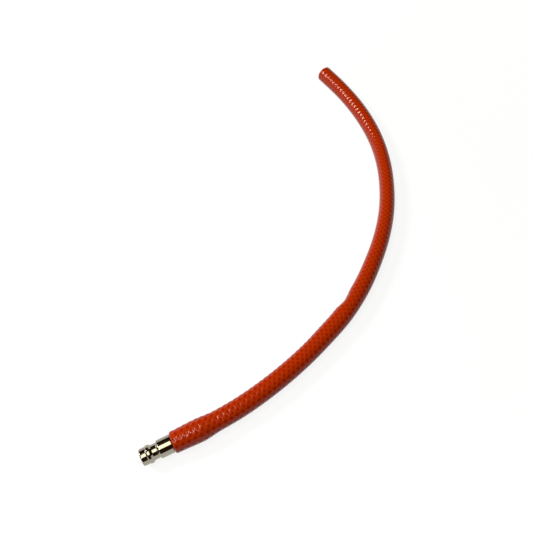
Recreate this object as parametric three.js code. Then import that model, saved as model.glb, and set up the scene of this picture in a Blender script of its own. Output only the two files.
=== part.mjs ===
// Siphoning hose: a short length of flexible hose with a turned quick-connect plug in one end.
// It lies in a loose bow on a flat surface, with a sharp crease on the inside of the bow.
// Millimetres, +Z up. The origin is the middle of the bounding box's base. The plug points along -X.

import * as THREE from 'three';

// Hose: outer diameter over the embossed ridges, plain bore, rounded rims
const hoseDiameter = 13.5;
const boreDiameter = 8;
const mouthRounding = 0.9;
const endRounding = 0.5;

// Route of the hose's centre line from its mouth on the plug to its cut end:
// X and Y from the mouth, Z above the surface that it lies on
const route = [
  [0, 0, 7.7], [11, 0, 7.7], [22, 0, 7.7], [47.1, 1.8, 7.4], [71.7, 6.1, 7],
  [96, 12.4, 6.8], [119.7, 20.6, 6.8], [142.7, 30.3, 6.85], [164.3, 43.1, 6.9],
  [184.1, 58.5, 6.95], [202.5, 75.5, 7], [218.8, 94.5, 7.05], [232.4, 115.5, 7.1],
  [243.5, 137.9, 7.1], [251.6, 161.6, 7.1], [256.4, 186.2, 7], [258.2, 211.1, 6.9],
  [257.2, 236.1, 6.95], [254.1, 261.2, 7.05],
];

// Bow: between these distances from the mouth, bending has squeezed the hose narrower and taller
const bowStart = 130;
const bowFull = 290;
const bowEasing = 300;
const bowEnd = 380;
const bowSqueeze = 0.1;
const bowRise = 0.04;

// Cut end: the bore has stayed a little wider there
const endWidening = 0.44;
const endWideningLength = 48;

// Crease on the inside of the bow: a nick, steep towards the plug and long away from it,
// and a low lip of pushed-up material on the plug's side
const creasePlace = 156;
const creaseDepth = 1.1;
const creaseSteepSide = 10;
const creaseLongSide = 13;
const creaseHalfAngle = 75;
const lipHeight = 0.45;
const lipFlatEnd = 24;
const lipLength = 48;

// Plug, from its tip: nose, relief groove, collar with sloping sides, locking neck, body
const noseDiameter = 11.1;
const noseLength = 3.75;
const noseRounding = 0.9;
const reliefWidth = 0.3;
const reliefDepth = 0.2;
const collarDiameter = 12;
const collarRise = 0.7;
const collarLength = 1.6;
const collarFall = 1.4;
const neckDiameter = 9.85;
const neckLength = 3.2;
const bodyDiameter = 12;
const bodySlope = 1.2;
const bodyLength = 8.5;
const backChamfer = 0.25;
const throughBore = 6;
const tipCountersink = 0.6;

// Hose tail on the plug, hidden in the hose: small barbs, then the large one that holds the hose
const tailDiameter = 8.2;
const smallBarbDiameter = 8.8;
const smallBarbCount = 3;
const smallBarbLand = 0.8;
const smallBarbSlope = 2.8;
const largeBarbDiameter = 10.3;
const largeBarbPlace = 18.3;
const largeBarbSlope = 7;

// Fit of the hose on the tail, and the length in which it closes again beyond the large barb
const clearance = 0.3;
const release = 13.5;

// Facets
const hoseSides = 24;
const plugSides = 40;
const roundingSteps = 3;
const bowStep = 10;
const flareStep = 3;
const creaseStep = 3.4;

const up = new THREE.Vector3(0, 0, 1);
const ease = THREE.MathUtils.smoothstep;

const centreLine = new THREE.CatmullRomCurve3(route.map((point) => new THREE.Vector3(...point)));
centreLine.arcLengthDivisions = 600;
const hoseLength = centreLine.getLength();
const crest = largeBarbPlace - clearance;
const flareEnd = crest + release;

// Bore radius at a distance from the mouth: stretched over the barbs, plain beyond them,
// a little wider at the cut end
function boreRadius(distance) {
  const overSmall = smallBarbDiameter / 2 + clearance;
  const overLarge = largeBarbDiameter / 2 + clearance;
  const stretched = THREE.MathUtils.lerp(overSmall, overLarge, ease(distance, 0, crest));
  const closing = ease(distance, crest + clearance, flareEnd);
  const widening = endWidening * (1 - ease(hoseLength - distance, 0, endWideningLength));
  return THREE.MathUtils.lerp(stretched, boreDiameter / 2, closing) + widening;
}

// Outer radius: the wall keeps its section area where the tail stretches it
function outerRadius(distance) {
  const wallSection = (hoseDiameter / 2) ** 2 - (boreDiameter / 2) ** 2;
  return Math.sqrt(boreRadius(distance) ** 2 + wallSection);
}

// How far the inside of the bow lies in, at its middle: the nick is positive, the lip negative
function creaseAt(distance) {
  const beyond = distance - creasePlace;
  if (beyond > 0) return creaseDepth * (1 - ease(beyond, 0, creaseLongSide));
  const lip = lipHeight * (1 - ease(-beyond, lipFlatEnd, lipLength));
  return THREE.MathUtils.lerp(creaseDepth, -lip, ease(-beyond, 0, creaseSteepSide));
}

// One section of the hose as a ring of points, the first on the inside of the bow
function section(distance, radius, nick = 0) {
  const centre = centreLine.getPointAt(distance / hoseLength);
  const along = centreLine.getTangentAt(distance / hoseLength);
  const inward = up.clone().cross(along).normalize();
  const upward = along.clone().cross(inward);
  const bend = ease(distance, bowStart, bowFull) * (1 - ease(distance, bowEasing, bowEnd));
  const halfAngle = THREE.MathUtils.degToRad(creaseHalfAngle);
  const points = [];
  for (let side = 0; side < hoseSides; side += 1) {
    const angle = (2 * Math.PI * side) / hoseSides;
    const fromInside = Math.min(angle, 2 * Math.PI - angle);
    const reach = radius - nick * (1 - ease(fromInside, 0, halfAngle));
    const point = centre.clone();
    point.addScaledVector(inward, reach * (1 - bowSqueeze * bend) * Math.cos(angle));
    point.addScaledVector(upward, reach * (1 + bowRise * bend) * Math.sin(angle));
    points.push(point);
  }
  return points;
}

// Even steps from one distance to another, without the first
function steps(from, to, longest) {
  const count = Math.ceil((to - from) / longest);
  return Array.from({ length: count }, (_, index) => from + ((to - from) * (index + 1)) / count);
}

// Distances of the sections: close over the tail and at the crease, wide along the plain hose
function stations() {
  const creaseEnd = creasePlace + creaseLongSide;
  return [
    mouthRounding,
    ...steps(mouthRounding, flareEnd, flareStep),
    ...steps(flareEnd, creasePlace - creaseSteepSide, bowStep),
    ...steps(creasePlace - creaseSteepSide, creasePlace, creaseStep),
    ...steps(creasePlace, creaseEnd, creaseStep),
    ...steps(creaseEnd, hoseLength - endRounding, bowStep),
  ];
}

// A closed skin over sections: each is joined to the next, and the last to the first
function skin(sections) {
  const corners = sections.flat().flatMap((point) => point.toArray());
  const faces = [];
  for (let here = 0; here < sections.length; here += 1) {
    const next = (here + 1) % sections.length;
    for (let side = 0; side < hoseSides; side += 1) {
      const beside = (side + 1) % hoseSides;
      const a = here * hoseSides + side;
      const b = here * hoseSides + beside;
      const c = next * hoseSides + beside;
      const d = next * hoseSides + side;
      faces.push(a, b, d, b, c, d);
    }
  }
  const geometry = new THREE.BufferGeometry();
  geometry.setAttribute('position', new THREE.Float32BufferAttribute(corners, 3));
  geometry.setIndex(faces);
  geometry.computeVertexNormals();
  return geometry;
}

// The hose: out along its outside, then back along its bore
function makeHose() {
  const places = stations();
  const inner = [0, ...places.slice(1, -1), hoseLength].reverse();
  const sections = [
    section(0, outerRadius(0) - mouthRounding),
    ...places.map((place) => section(place, outerRadius(place), creaseAt(place))),
    section(hoseLength, outerRadius(hoseLength) - endRounding),
    ...inner.map((place) => section(place, boreRadius(place))),
  ];
  const material = new THREE.MeshStandardMaterial({ color: 0xb53400, roughness: 0.35, metalness: 0 });
  const hose = new THREE.Mesh(skin(sections), material);
  hose.name = 'hose';
  return hose;
}

// The plug's outline as steps of [length, radius reached], from the bore's edge at the tip,
// over the outside to the end of the tail, and back through the bore
function plugSteps() {
  const nose = noseDiameter / 2;
  const rounding = steps(0, Math.PI / 2, Math.PI / 2 / roundingSteps).map((angle, index) => {
    const before = (Math.PI / 2) * (index / roundingSteps);
    const length = noseRounding * (Math.cos(before) - Math.cos(angle));
    return [length, nose - noseRounding * (1 - Math.sin(angle))];
  });
  const visible = [
    [0, nose - noseRounding],
    ...rounding,
    [noseLength - noseRounding, nose],
    [0, nose - reliefDepth],
    [reliefWidth, nose - reliefDepth],
    [0, nose],
    [collarRise, collarDiameter / 2],
    [collarLength, collarDiameter / 2],
    [collarFall, neckDiameter / 2],
    [neckLength, neckDiameter / 2],
    [bodySlope, bodyDiameter / 2],
    [bodyLength - backChamfer, bodyDiameter / 2],
    [backChamfer, bodyDiameter / 2 - backChamfer],
  ];
  const smallBarb = [
    [smallBarbLand, tailDiameter / 2],
    [0, smallBarbDiameter / 2],
    [smallBarbSlope, tailDiameter / 2],
  ];
  const smallBarbs = Array.from({ length: smallBarbCount }, () => smallBarb).flat();
  const tail = [
    [0, tailDiameter / 2],
    ...smallBarbs,
    [largeBarbPlace - smallBarbCount * (smallBarbLand + smallBarbSlope), tailDiameter / 2],
    [0, largeBarbDiameter / 2],
    [largeBarbSlope, boreDiameter / 2 - clearance],
  ];
  return { visible, tail };
}

function lengthOf(outline) {
  return outline.reduce((sum, [length]) => sum + length, 0);
}

function makePlug(visible, tail) {
  const bore = throughBore / 2;
  const back = [
    [0, bore],
    [tipCountersink - lengthOf(visible) - lengthOf(tail), bore],
    [-tipCountersink, bore + tipCountersink],
  ];
  const profile = [new THREE.Vector2(bore + tipCountersink, 0)];
  for (const [length, radius] of [...visible, ...tail, ...back]) {
    profile.push(new THREE.Vector2(radius, profile.at(-1).y + length));
  }
  const material = new THREE.MeshStandardMaterial({ color: 0xd8d2bc, roughness: 0.12, metalness: 1 });
  const plug = new THREE.Mesh(new THREE.LatheGeometry(profile, plugSides), material);
  plug.name = 'coupling_plug';
  return plug;
}

// The plug lies on the hose's straight start, its body just off the mouth
const { visible, tail } = plugSteps();
const plug = makePlug(visible, tail);
plug.rotation.z = -Math.PI / 2;
plug.position.set(-clearance - lengthOf(visible), 0, route[0][2]);

const group = new THREE.Group();
group.add(makeHose(), plug);

// The origin goes to the middle of the box's base
const box = new THREE.Box3().setFromObject(group, true);
const middle = box.getCenter(new THREE.Vector3());
group.position.set(-middle.x, -middle.y, -box.min.z);

export default group;
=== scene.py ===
"""A short siphoning hose with a turned quick-connect plug, lying in a loose bow on a pale floor.
Metres, +Z up. The hose's route starts at its mouth on the plug; the plug points along -X."""

import math

import bpy
import numpy as np
from mathutils import Matrix, Vector


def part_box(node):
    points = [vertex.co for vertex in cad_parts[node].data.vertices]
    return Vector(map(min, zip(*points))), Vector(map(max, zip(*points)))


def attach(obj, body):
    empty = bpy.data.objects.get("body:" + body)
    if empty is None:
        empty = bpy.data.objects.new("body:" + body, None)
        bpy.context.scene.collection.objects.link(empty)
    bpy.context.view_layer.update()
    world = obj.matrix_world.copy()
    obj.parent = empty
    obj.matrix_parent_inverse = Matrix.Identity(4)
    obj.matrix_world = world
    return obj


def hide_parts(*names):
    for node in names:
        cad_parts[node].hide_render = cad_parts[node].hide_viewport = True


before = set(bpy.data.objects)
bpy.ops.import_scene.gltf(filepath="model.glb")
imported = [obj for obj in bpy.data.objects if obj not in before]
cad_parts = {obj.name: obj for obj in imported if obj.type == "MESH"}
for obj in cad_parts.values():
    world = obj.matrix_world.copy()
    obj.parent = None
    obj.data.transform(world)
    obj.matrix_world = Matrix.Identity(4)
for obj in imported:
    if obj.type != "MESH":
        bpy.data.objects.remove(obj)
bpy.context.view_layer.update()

MM = 0.001

# Hose: size over the ridges, plain bore, rounded rims
HOSE_RADIUS = 6.75 * MM
BORE_RADIUS = 4 * MM
MOUTH_ROUNDING = 0.9 * MM
END_ROUNDING = 0.5 * MM

# Route of the hose's centre line from its mouth to its cut end: X and Y from the mouth, Z above
# the floor
ROUTE = np.array([
    [0, 0, 0.0077], [0.011, 0, 0.0077], [0.022, 0, 0.0077], [0.0471, 0.0018, 0.0074],
    [0.0717, 0.0061, 0.007], [0.096, 0.0124, 0.0068], [0.1197, 0.0206, 0.0068],
    [0.1427, 0.0303, 0.00685], [0.1643, 0.0431, 0.0069], [0.1841, 0.0585, 0.00695],
    [0.2025, 0.0755, 0.007], [0.2188, 0.0945, 0.00705], [0.2324, 0.1155, 0.0071],
    [0.2435, 0.1379, 0.0071], [0.2516, 0.1616, 0.0071], [0.2564, 0.1862, 0.007],
    [0.2582, 0.2111, 0.0069], [0.2572, 0.2361, 0.00695], [0.2541, 0.2612, 0.00705],
])

# Bow: where bending has squeezed the hose narrower and taller
BOW_START = 130 * MM
BOW_FULL = 290 * MM
BOW_EASING = 300 * MM
BOW_END = 380 * MM
BOW_SQUEEZE = 0.1
BOW_RISE = 0.04

# Cut end: the bore has stayed a little wider there
END_WIDENING = 0.44 * MM
END_WIDENING_LENGTH = 48 * MM

# Crease on the inside of the bow, steep towards the plug, with a lip of pushed-up material
CREASE_PLACE = 156 * MM
CREASE_DEPTH = 1.1 * MM
CREASE_STEEP_SIDE = 10 * MM
CREASE_LONG_SIDE = 13 * MM
CREASE_HALF_ANGLE = math.radians(75)
LIP_HEIGHT = 0.45 * MM
LIP_FLAT_END = 24 * MM
LIP_LENGTH = 48 * MM

# Embossed skin: two crossing families of helical ridges, a net that turns by the twist from the
# mouth to the cut end
RIDGE_STARTS = 8
RIDGE_PITCH = 4.15 * MM
RIDGE_HEIGHT = 0.22 * MM
WEAKER_FAMILY = 0.85
RIDGE_SHARPNESS = 2
TWIST = math.radians(-19)

# Plug, from its tip
NOSE_RADIUS = 5.55 * MM
NOSE_LENGTH = 3.75 * MM
NOSE_ROUNDING = 0.9 * MM
RELIEF_WIDTH = 0.3 * MM
RELIEF_DEPTH = 0.2 * MM
COLLAR_RADIUS = 6 * MM
COLLAR_RISE = 0.7 * MM
COLLAR_LENGTH = 1.6 * MM
COLLAR_FALL = 1.4 * MM
NECK_RADIUS = 4.925 * MM
NECK_LENGTH = 3.2 * MM
BODY_RADIUS = 6 * MM
BODY_SLOPE = 1.2 * MM
BODY_LENGTH = 8.5 * MM
BACK_CHAMFER = 0.25 * MM
THROUGH_BORE_RADIUS = 3 * MM
TIP_COUNTERSINK = 0.6 * MM

# Hose tail on the plug, the hose's clearance round it, and the length in which the hose closes
# again beyond the large barb
TAIL_RADIUS = 4.1 * MM
SMALL_BARB_RADIUS = 4.4 * MM
SMALL_BARB_COUNT = 3
SMALL_BARB_LAND = 0.8 * MM
SMALL_BARB_SLOPE = 2.8 * MM
LARGE_BARB_RADIUS = 5.15 * MM
LARGE_BARB_PLACE = 18.3 * MM
LARGE_BARB_SLOPE = 7 * MM
CLEARANCE = 0.3 * MM
RELEASE = 13.5 * MM

# Broken edges of the plug: their size, where the holding points lie as a multiple of it, and the
# turn below which a corner needs none
EDGE_BREAK = 0.12 * MM
EDGE_HOLD = 1.5
GENTLE_TURN = math.radians(3)

# Mesh: how fine it is, and the turn from which an edge is shaded sharp
SIDES = 96
RING_STEP = 0.462 * MM
BORE_RING_STEP = 7 * MM
RIM_STEPS = 4
NOSE_STEPS = 8
PLUG_SIDES = 144
ROUTE_SAMPLES = 400
SHARP_TURN = math.radians(50)

# Hose plastic: colours of the pockets (darker, partly the plastic's own deeper tone and partly
# painted shade in the recesses), the slopes and the crests, gloss, and a fine grain
POCKET_SHADE_COLOUR = (0.34, 0.016, 0.0004)
SLOPE_COLOUR = (0.43, 0.026, 0.0006)
CREST_COLOUR = (0.47, 0.032, 0.0008)
HOSE_ROUGHNESS = (0.11, 0.15)
HOSE_SPECULAR = 0.18
CLOUD_SCALE = 180
GRAIN_SCALE = 2500
GRAIN_STRENGTH = 0.1
GRAIN_DEPTH = 0.02 * MM

# Nickel plate: colour, gloss, and turning marks that run round the plug
NICKEL = (0.34, 0.315, 0.25)
NICKEL_ROUGHNESS = (0.04, 0.09)
MARK_SCALE = 9000
MARK_STRETCH = (1, 0.01, 0.01)
MARK_STRENGTH = 0.02
MARK_DEPTH = 0.01 * MM

# Camera: where it stands, which way it looks, and its lens
CAMERA_PLACE = Vector((-0.0945, -0.2269, 0.3533))
LOOK_AZIMUTH = math.radians(23.42)
LOOK_DOWN = math.radians(59.02)
CAMERA_ROLL = math.radians(-2.79)
FIELD_OF_VIEW = 2 * math.atan(0.5)
CLIP_START = 0.01

# Lamps: a window at the back left; overhead, a narrow bright lamp and a wide dim one, which the
# plug mirrors as streaks
WINDOW_PLACE = (-0.95, 0.85, 1.1)
WINDOW_SIZE = (0.42, 0.42)
WINDOW_POWER = 19
WINDOW_COLOUR = (1, 0.99, 0.96)
OVERHEAD_HEIGHT = 1.0
OVERHEAD_Y = -0.14
KEY_X = -0.35
KEY_SIZE = (0.036, 0.85)
KEY_POWER = 4.6
KEY_COLOUR = (1, 0.98, 0.92)
STRIP_X = -0.2
STRIP_SIZE = (0.17, 0.75)
STRIP_POWER = 1.3
STRIP_COLOUR = (1, 0.98, 0.85)

# Floor: how white it glows to the eye by the object and far out, and between which distances;
# its matt share, which takes the shadow; its colour as a source of light
FLOOR_REACH = 6
GLOW_NEAR = 0.86
GLOW_FAR = 1.0
GLOW_FADE = (0.2, 1.2)
FLOOR_MATT = (0.18, 0.18, 0.18)
FLOOR_BOUNCE = (0.42, 0.40, 0.34)

# Room: the light that it gives from all sides
ROOM_LIGHT = 0.07

# Ceiling: dark, with a grey slit, so that the metal shows more than the white room
CEILING_REACH = 6
CEILING_HEIGHT = 1.3
SLIT_Y = 0.72
SLIT_WIDTH = 0.03
SLIT_HEIGHT = 1.1
CEILING_BROWN = (0.035, 0.016, 0.007)
SLIT_GREY = (0.42, 0.42, 0.38)


def make_camera():
    data = bpy.data.cameras.new("camera")
    data.angle = FIELD_OF_VIEW
    data.clip_start = CLIP_START
    camera = bpy.data.objects.new("camera", data)
    bpy.context.scene.collection.objects.link(camera)
    flat = Vector((math.sin(LOOK_AZIMUTH), math.cos(LOOK_AZIMUTH), 0))
    forward = flat * math.cos(LOOK_DOWN) - Vector((0, 0, math.sin(LOOK_DOWN)))
    right = forward.cross(Vector((0, 0, 1))).normalized()
    up = right.cross(forward)
    turned_right = right * math.cos(CAMERA_ROLL) + up * math.sin(CAMERA_ROLL)
    turned_up = turned_right.cross(forward)
    axes = Matrix((turned_right, turned_up, -forward)).transposed()
    camera.matrix_world = Matrix.Translation(CAMERA_PLACE) @ axes.to_4x4()
    bpy.context.scene.camera = camera


def ease(value, start, end):
    """Smooth change from 0 at start to 1 at end."""
    share = np.clip((value - start) / (end - start), 0, 1)
    return share * share * (3 - 2 * share)


def between(low, high, share):
    return low + (high - low) * share


def spline_piece(before, start, end, after, share):
    """Points from start to end, on the same centripetal spline as the solid's."""
    t0 = np.sqrt(np.linalg.norm(start - before))
    t1 = np.sqrt(np.linalg.norm(end - start))
    t2 = np.sqrt(np.linalg.norm(after - end))
    leave = t1 * ((start - before) / t0 - (end - before) / (t0 + t1) + (end - start) / t1)
    arrive = t1 * ((end - start) / t1 - (after - start) / (t1 + t2) + (after - end) / t2)
    s = share[:, None]
    cubic = 2 * start - 2 * end + leave + arrive
    square = -3 * start + 3 * end - 2 * leave - arrive
    return start + s * leave + s**2 * square + s**3 * cubic


class Route:
    """The centre line, looked up by distance from the mouth."""

    def __init__(self, points):
        ends = [2 * points[0] - points[1], *points, 2 * points[-1] - points[-2]]
        share = np.linspace(0, 1, ROUTE_SAMPLES, endpoint=False)
        pieces = [spline_piece(*ends[i:i + 4], share) for i in range(len(points) - 1)]
        self.points = np.vstack([*pieces, points[-1:]])
        lengths = np.linalg.norm(np.diff(self.points, axis=0), axis=1)
        self.along = np.concatenate([[0], np.cumsum(lengths)])
        self.length = self.along[-1]
        slopes = np.gradient(self.points, self.along, axis=0)
        self.tangents = slopes / np.linalg.norm(slopes, axis=1)[:, None]

    def look_up(self, distance, values):
        return np.stack([np.interp(distance, self.along, column) for column in values.T], axis=-1)


# The mouth lies at the hose's lowest X, on the plug's axis
hose_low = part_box("hose")[0]
plug_low, plug_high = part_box("coupling_plug")
mouth = Vector((hose_low.x, (plug_low.y + plug_high.y) / 2, 0))
route = Route(ROUTE + np.array(mouth))


def bore_radius(distance):
    """Stretched over the barbs, plain beyond them, a little wider at the cut end."""
    crest = LARGE_BARB_PLACE - CLEARANCE
    stretched = CLEARANCE + between(SMALL_BARB_RADIUS, LARGE_BARB_RADIUS, ease(distance, 0, crest))
    closing = ease(distance, crest + CLEARANCE, crest + RELEASE)
    widening = END_WIDENING * (1 - ease(route.length - distance, 0, END_WIDENING_LENGTH))
    return between(stretched, BORE_RADIUS, closing) + widening


def outer_radius(distance):
    """The wall keeps its section area where the tail stretches it."""
    wall_section = HOSE_RADIUS**2 - BORE_RADIUS**2
    return np.sqrt(bore_radius(distance)**2 + wall_section)


def crease_depth(distance, from_inside):
    """How far the skin lies in at the crease; the lip on the plug's side stands out."""
    beyond = distance - CREASE_PLACE
    long_side = CREASE_DEPTH * (1 - ease(beyond, 0, CREASE_LONG_SIDE))
    lip = LIP_HEIGHT * (1 - ease(-beyond, LIP_FLAT_END, LIP_LENGTH))
    steep_side = between(CREASE_DEPTH, -lip, ease(-beyond, 0, CREASE_STEEP_SIDE))
    depth = np.where(beyond > 0, long_side, steep_side)
    return depth * (1 - ease(from_inside, 0, CREASE_HALF_ANGLE))


def ridge_pattern(distance, angle):
    """Height of the embossed skin, from 0 in the pockets to 1 on the ridges."""
    turn = 2 * math.pi * distance / RIDGE_PITCH
    around = RIDGE_STARTS * (angle - TWIST * distance / route.length)
    families = []
    for way, strength in ((1, 1), (-1, WEAKER_FAMILY)):
        wave = 0.5 + 0.5 * np.cos(around + way * turn)
        families.append(strength * wave**RIDGE_SHARPNESS)
    first, second = families
    return 1 - (1 - first) * (1 - second)


def ring_points(distance, angle, radius):
    """Points at a distance along the hose and an angle from the inside of the bow."""
    centre = route.look_up(distance, route.points)
    tangent = route.look_up(distance, route.tangents)
    inward = np.cross([0, 0, 1], tangent)
    inward /= np.linalg.norm(inward, axis=-1)[..., None]
    upward = np.cross(tangent, inward)
    bend = ease(distance, BOW_START, BOW_FULL) * (1 - ease(distance, BOW_EASING, BOW_END))
    aside = (radius * (1 - BOW_SQUEEZE * bend) * np.cos(angle))[..., None]
    above = (radius * (1 + BOW_RISE * bend) * np.sin(angle))[..., None]
    return centre + inward * aside + upward * above


def new_object(name, vertices, faces):
    mesh = bpy.data.meshes.new(name)
    mesh.from_pydata(vertices.tolist(), [], faces.tolist())
    mesh.validate()
    piece = bpy.data.objects.new(name, mesh)
    bpy.context.scene.collection.objects.link(piece)
    mesh.shade_smooth()
    return piece


def ring_faces(rings, sides):
    """Quads between neighbouring rings, and between the last ring and the first."""
    here = np.arange(rings)[:, None] * sides
    after = ((np.arange(rings) + 1) % rings)[:, None] * sides
    side = np.arange(sides)[None, :]
    beside = (side + 1) % sides
    quads = np.stack([here + side, here + beside, after + beside, after + side], axis=-1)
    return quads.reshape(-1, 4)


def make_hose():
    """One closed skin: the embossed outside, the rims and the bore."""
    length = route.length
    arc = np.linspace(0, math.pi / 2, RIM_STEPS, endpoint=False)
    plain_count = round(length / RING_STEP)
    plain = np.linspace(MOUTH_ROUNDING, length - END_ROUNDING, plain_count)
    mouth_rim = MOUTH_ROUNDING * (1 - np.cos(arc))
    end_rim = length - END_ROUNDING * (1 - np.cos(arc[::-1]))
    distance = np.concatenate([mouth_rim, plain, end_rim])
    rounded_off = 1 - np.sin(arc)
    lowered = np.concatenate([
        MOUTH_ROUNDING * rounded_off, np.zeros(plain_count), END_ROUNDING * rounded_off[::-1]])
    angle = np.linspace(0, 2 * math.pi, SIDES, endpoint=False)
    s, a = np.meshgrid(distance, angle, indexing="ij")
    from_inside = np.minimum(a, 2 * math.pi - a)
    pattern = ridge_pattern(s, a)
    radius = outer_radius(s) - lowered[:, None] - crease_depth(s, from_inside)
    radius -= RIDGE_HEIGHT * (1 - pattern)
    outside = ring_points(s, a, radius)
    back = np.linspace(length, 0, round(length / BORE_RING_STEP) + 1)
    s_back, a_back = np.meshgrid(back, angle, indexing="ij")
    inside = ring_points(s_back, a_back, bore_radius(s_back))
    vertices = np.concatenate([outside, inside])
    piece = new_object("hose_skin", vertices.reshape(-1, 3), ring_faces(len(vertices), SIDES))
    emboss = piece.data.attributes.new("emboss", "FLOAT", "POINT")
    shown = np.concatenate([pattern, np.zeros_like(s_back)]).reshape(-1)
    emboss.data.foreach_set("value", shown.astype(np.float32))
    piece.data.set_sharp_from_angle(angle=SHARP_TURN)
    path = route.look_up(distance, route.points)
    return piece, path


def broken_edges(profile, size):
    """Each corner of a closed outline is eased, and held by a point on either side, so that the
    shading stays true to the faces beside it."""
    points = [Vector(p) for p in profile]
    result = []
    for index, corner in enumerate(points):
        before = points[index - 1] - corner
        after = points[(index + 1) % len(points)] - corner
        cut = min(size, before.length / 4, after.length / 4)
        turning = math.pi - before.angle(after)
        if turning < GENTLE_TURN:
            result.append(corner)
            continue
        start = corner + before.normalized() * cut
        end = corner + after.normalized() * cut
        middle = (start + end) / 4 + corner / 2
        held_start = corner.lerp(start, EDGE_HOLD)
        held_end = corner.lerp(end, EDGE_HOLD)
        result.extend([held_start, start, middle, end, held_end])
    return result


def plug_outline():
    """The turned outline as (place from the tip, radius), round the outside and back by the bore."""
    place = 0
    outline = [(0, THROUGH_BORE_RADIUS + TIP_COUNTERSINK), (0, NOSE_RADIUS - NOSE_ROUNDING)]
    for step in range(1, NOSE_STEPS):
        angle = math.pi / 2 * step / NOSE_STEPS
        outline.append((NOSE_ROUNDING * (1 - math.cos(angle)),
                        NOSE_RADIUS - NOSE_ROUNDING * (1 - math.sin(angle))))
    small_barb = [
        (SMALL_BARB_LAND, TAIL_RADIUS),
        (0, SMALL_BARB_RADIUS),
        (SMALL_BARB_SLOPE, TAIL_RADIUS),
    ]
    barbs_length = SMALL_BARB_COUNT * (SMALL_BARB_LAND + SMALL_BARB_SLOPE)
    steps = [
        (NOSE_ROUNDING, NOSE_RADIUS),
        (NOSE_LENGTH - NOSE_ROUNDING, NOSE_RADIUS),
        (0, NOSE_RADIUS - RELIEF_DEPTH),
        (RELIEF_WIDTH, NOSE_RADIUS - RELIEF_DEPTH),
        (0, NOSE_RADIUS),
        (COLLAR_RISE, COLLAR_RADIUS),
        (COLLAR_LENGTH, COLLAR_RADIUS),
        (COLLAR_FALL, NECK_RADIUS),
        (NECK_LENGTH, NECK_RADIUS),
        (BODY_SLOPE, BODY_RADIUS),
        (BODY_LENGTH - BACK_CHAMFER, BODY_RADIUS),
        (BACK_CHAMFER, BODY_RADIUS - BACK_CHAMFER),
        (0, TAIL_RADIUS),
        *small_barb * SMALL_BARB_COUNT,
        (LARGE_BARB_PLACE - barbs_length, TAIL_RADIUS),
        (0, LARGE_BARB_RADIUS),
        (LARGE_BARB_SLOPE, BORE_RADIUS - CLEARANCE),
        (0, THROUGH_BORE_RADIUS),
    ]
    for length, radius in steps:
        place += length
        outline.append((place, radius))
    outline.append((TIP_COUNTERSINK, THROUGH_BORE_RADIUS))
    return outline


def make_plug():
    """The plug, turned about its axis along X."""
    outline = broken_edges(plug_outline(), EDGE_BREAK)
    angle = np.linspace(0, 2 * math.pi, PLUG_SIDES, endpoint=False)
    axis_height = (plug_low.z + plug_high.z) / 2
    place, around = np.meshgrid([point.x for point in outline], angle, indexing="ij")
    radius = np.array([point.y for point in outline])[:, None]
    x = plug_low.x + place
    y = mouth.y + radius * np.cos(around)
    z = axis_height + radius * np.sin(around)
    vertices = np.stack([x, y, z], axis=-1)
    piece = new_object("turned_plug", vertices.reshape(-1, 3), ring_faces(len(outline), PLUG_SIDES))
    piece.data.set_sharp_from_angle(angle=SHARP_TURN)
    return piece


def new_material(name):
    material = bpy.data.materials.new(name)
    material.use_nodes = True
    nodes = material.node_tree.nodes
    return material, nodes, material.node_tree.links, nodes["Principled BSDF"]


def noise(nodes, links, coordinates, scale):
    texture = nodes.new("ShaderNodeTexNoise")
    texture.inputs["Scale"].default_value = scale
    links.new(coordinates, texture.inputs["Vector"])
    return texture.outputs["Fac"]


def ramp(nodes, links, value, *stops):
    node = nodes.new("ShaderNodeValToRGB")
    elements = node.color_ramp.elements
    while len(elements) < len(stops):
        elements.new(0.5)
    for element, (place, colour) in zip(elements, stops):
        element.position = place
        element.color = (*colour, 1)
    links.new(value, node.inputs["Fac"])
    return node.outputs["Color"]


def spread(nodes, links, value, low, high, start=0, end=1):
    """Turn values from start to end into values from low to high."""
    node = nodes.new("ShaderNodeMapRange")
    links.new(value, node.inputs["Value"])
    node.inputs["From Min"].default_value = start
    node.inputs["From Max"].default_value = end
    node.inputs["To Min"].default_value = low
    node.inputs["To Max"].default_value = high
    return node.outputs["Result"]


def raise_surface(nodes, links, shader, height, strength, depth):
    bump = nodes.new("ShaderNodeBump")
    bump.inputs["Strength"].default_value = strength
    bump.inputs["Distance"].default_value = depth
    links.new(height, bump.inputs["Height"])
    links.new(bump.outputs["Normal"], shader.inputs["Normal"])


def hose_material():
    """Glossy soft plastic, darker in the pockets than on the ridges, partly as its own deeper tone
    and partly as painted shade in the recesses, a little uneven.
    """
    material, nodes, links, shader = new_material("hose_plastic")
    place = nodes.new("ShaderNodeTexCoord").outputs["Object"]
    emboss = nodes.new("ShaderNodeAttribute")
    emboss.attribute_name = "emboss"
    # Colour by emboss height: the pockets are darkened partly by the plastic's tone and partly by
    # painted shade in the recesses
    weave_and_pocket_shade = ramp(nodes, links, emboss.outputs["Fac"],
                 (0, POCKET_SHADE_COLOUR), (0.5, SLOPE_COLOUR), (1, CREST_COLOUR))
    links.new(weave_and_pocket_shade, shader.inputs["Base Color"])
    clouds = noise(nodes, links, place, CLOUD_SCALE)
    links.new(spread(nodes, links, clouds, *HOSE_ROUGHNESS), shader.inputs["Roughness"])
    shader.inputs["Specular IOR Level"].default_value = HOSE_SPECULAR
    grain = noise(nodes, links, place, GRAIN_SCALE)
    raise_surface(nodes, links, shader, grain, GRAIN_STRENGTH, GRAIN_DEPTH)
    return material


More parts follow.
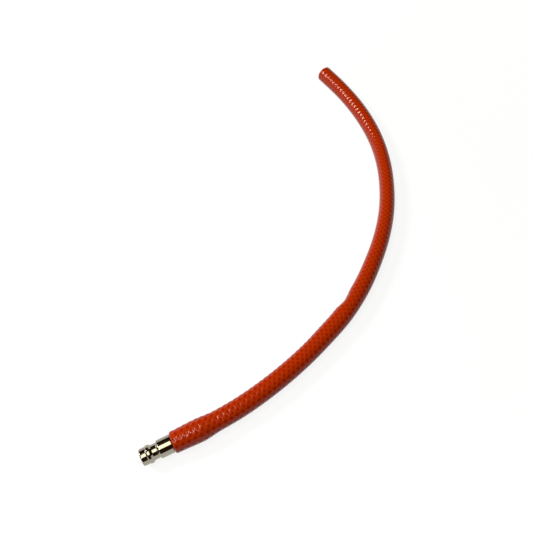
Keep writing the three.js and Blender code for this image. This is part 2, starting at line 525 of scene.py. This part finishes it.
def plug_material():
    """Polished nickel plate with fine turning marks."""
    material, nodes, links, shader = new_material("nickel_plate")
    shader.inputs["Metallic"].default_value = 1.0
    shader.inputs["Base Color"].default_value = (*NICKEL, 1)
    place = nodes.new("ShaderNodeTexCoord").outputs["Object"]
    stretch = nodes.new("ShaderNodeMapping")
    stretch.inputs["Scale"].default_value = MARK_STRETCH
    links.new(place, stretch.inputs["Vector"])
    marks = noise(nodes, links, stretch.outputs["Vector"], MARK_SCALE)
    links.new(spread(nodes, links, marks, *NICKEL_ROUGHNESS), shader.inputs["Roughness"])
    raise_surface(nodes, links, shader, marks, MARK_STRENGTH, MARK_DEPTH)
    return material


def mix_by(nodes, links, share, first, second):
    node = nodes.new("ShaderNodeMixShader")
    links.new(share, node.inputs["Fac"])
    links.new(first, node.inputs[1])
    links.new(second, node.inputs[2])
    return node.outputs["Shader"]


def seen_by_eye(nodes, links):
    """1 for rays of the camera, and for what it sees by reflection or through glass."""
    rays = nodes.new("ShaderNodeLightPath")
    seen = rays.outputs["Is Camera Ray"]
    for kind in ("Is Glossy Ray", "Is Transmission Ray"):
        either = nodes.new("ShaderNodeMath")
        either.operation = "MAXIMUM"
        links.new(seen, either.inputs[0])
        links.new(rays.outputs[kind], either.inputs[1])
        seen = either.outputs["Value"]
    return seen


def stage_sheet(name, quad):
    """A flat sheet that is no part of the object, and the empty nodes of its material."""
    mesh = bpy.data.meshes.new(name)
    mesh.from_pydata(quad, [], [range(4)])
    sheet = bpy.data.objects.new(name, mesh)
    bpy.context.scene.collection.objects.link(sheet)
    material = bpy.data.materials.new(name)
    material.use_nodes = True
    material.node_tree.nodes.clear()
    mesh.materials.append(material)
    return sheet, material.node_tree.nodes, material.node_tree.links


def level_quad(low_x, low_y, high_x, high_y, height):
    corners = ((low_x, low_y), (high_x, low_y), (high_x, high_y), (low_x, high_y))
    return [(x, y, height) for x, y in corners]


def make_floor():
    """A pale floor: white to the eye but for the soft shadow, and as white as the room far out;
    greyer as a source of light."""
    reach = FLOOR_REACH
    _, nodes, links = stage_sheet("floor", level_quad(-reach, -reach, reach, reach, 0))
    place = nodes.new("ShaderNodeTexCoord").outputs["Object"]
    away = nodes.new("ShaderNodeVectorMath")
    away.operation = "LENGTH"
    links.new(place, away.inputs[0])
    strength = spread(nodes, links, away.outputs["Value"], GLOW_NEAR, GLOW_FAR, *GLOW_FADE)
    glow = nodes.new("ShaderNodeEmission")
    links.new(strength, glow.inputs["Strength"])
    matt = nodes.new("ShaderNodeBsdfDiffuse")
    matt.inputs["Color"].default_value = (*FLOOR_MATT, 1)
    both = nodes.new("ShaderNodeAddShader")
    links.new(glow.outputs["Emission"], both.inputs[0])
    links.new(matt.outputs["BSDF"], both.inputs[1])
    bounce = nodes.new("ShaderNodeBsdfDiffuse")
    bounce.inputs["Color"].default_value = (*FLOOR_BOUNCE, 1)
    seen = seen_by_eye(nodes, links)
    shown = mix_by(nodes, links, seen, bounce.outputs["BSDF"], both.outputs["Shader"])
    output = nodes.new("ShaderNodeOutputMaterial")
    links.new(shown, output.inputs["Surface"])


def card(name, quad, colour):
    """A card overhead that lights nothing and shows only in reflections."""
    sheet, nodes, links = stage_sheet(name, quad)
    glow = nodes.new("ShaderNodeEmission")
    glow.inputs["Color"].default_value = (*colour, 1)
    output = nodes.new("ShaderNodeOutputMaterial")
    links.new(glow.outputs["Emission"], output.inputs["Surface"])
    sheet.visible_camera = False
    sheet.visible_diffuse = False
    sheet.visible_transmission = False
    sheet.visible_shadow = False


def make_ceiling():
    reach = CEILING_REACH
    card("ceiling", level_quad(-reach, -reach, reach, reach, CEILING_HEIGHT), CEILING_BROWN)
    card("grey_slit", level_quad(-reach, SLIT_Y, reach, SLIT_Y + SLIT_WIDTH, SLIT_HEIGHT), SLIT_GREY)


def area_lamp(name, place, size, power, colour):
    """A soft box, pointing straight down until it is turned."""
    data = bpy.data.lights.new(name, "AREA")
    data.shape = "RECTANGLE"
    data.size, data.size_y = size
    data.energy = power
    data.color = colour
    lamp = bpy.data.objects.new(name, data)
    bpy.context.scene.collection.objects.link(lamp)
    lamp.location = place
    return lamp


def light_scene():
    window = area_lamp("window", WINDOW_PLACE, WINDOW_SIZE, WINDOW_POWER, WINDOW_COLOUR)
    window.rotation_euler = (-window.location).to_track_quat("-Z", "Y").to_euler()
    area_lamp("key", (KEY_X, OVERHEAD_Y, OVERHEAD_HEIGHT), KEY_SIZE, KEY_POWER, KEY_COLOUR)
    area_lamp("strip", (STRIP_X, OVERHEAD_Y, OVERHEAD_HEIGHT), STRIP_SIZE, STRIP_POWER, STRIP_COLOUR)
    world = bpy.data.worlds.new("room")
    bpy.context.scene.world = world
    world.use_nodes = True
    nodes, links = world.node_tree.nodes, world.node_tree.links
    nodes.clear()
    room = nodes.new("ShaderNodeBackground")
    room.inputs["Color"].default_value = (1, 1, 1, 1)
    room.inputs["Strength"].default_value = ROOM_LIGHT
    white = nodes.new("ShaderNodeBackground")
    white.inputs["Color"].default_value = (1, 1, 1, 1)
    shown = mix_by(nodes, links, seen_by_eye(nodes, links), room.outputs[0], white.outputs[0])
    output = nodes.new("ShaderNodeOutputWorld")
    links.new(shown, output.inputs["Surface"])


make_camera()
hose, hose_path = make_hose()
hose.data.materials.append(hose_material())
plug = make_plug()
plug.data.materials.append(plug_material())
make_floor()
make_ceiling()
light_scene()
bpy.context.scene.view_settings.view_transform = "Standard"

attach(hose, "root")
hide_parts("hose")
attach(plug, "root")
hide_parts("coupling_plug")
